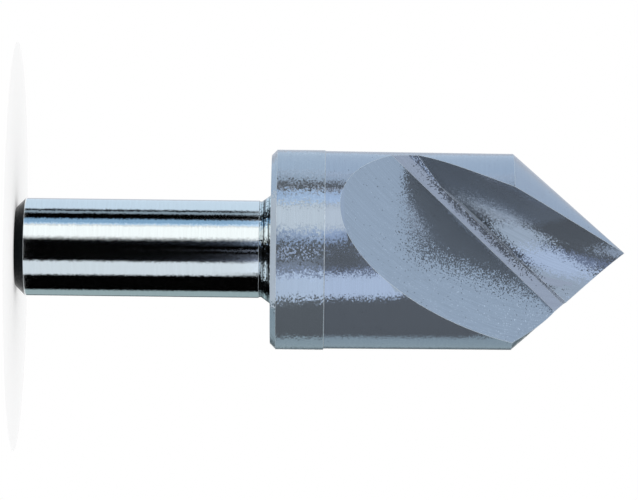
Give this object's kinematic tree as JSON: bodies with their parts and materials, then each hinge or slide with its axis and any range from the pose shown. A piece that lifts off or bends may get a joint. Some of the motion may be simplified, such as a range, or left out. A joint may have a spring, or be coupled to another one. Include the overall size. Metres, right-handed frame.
{
  "type": "countersink bit",
  "caption": "Single-flute countersink bit with a sharp 82 degree cone, a collared cylindrical head and a slim straight round shank, ground from one bar.",
  "frame": {"origin": "centre of the flat end face of the shank, on which the bit stands", "axes": "+Z along the bit from the shank to the point; the flute opens towards -Y; the bit cuts turning clockwise as seen from the shank, looking along +Z"},
  "size_m": [0.0204, 0.0206, 0.0625],
  "materials": {
    "ground_tool_steel": "ground: polished shank, satin blue-grey head"
  },
  "bodies": {
    "root": {"countersink_bit": "ground_tool_steel"}
  },
  "joints": []
}
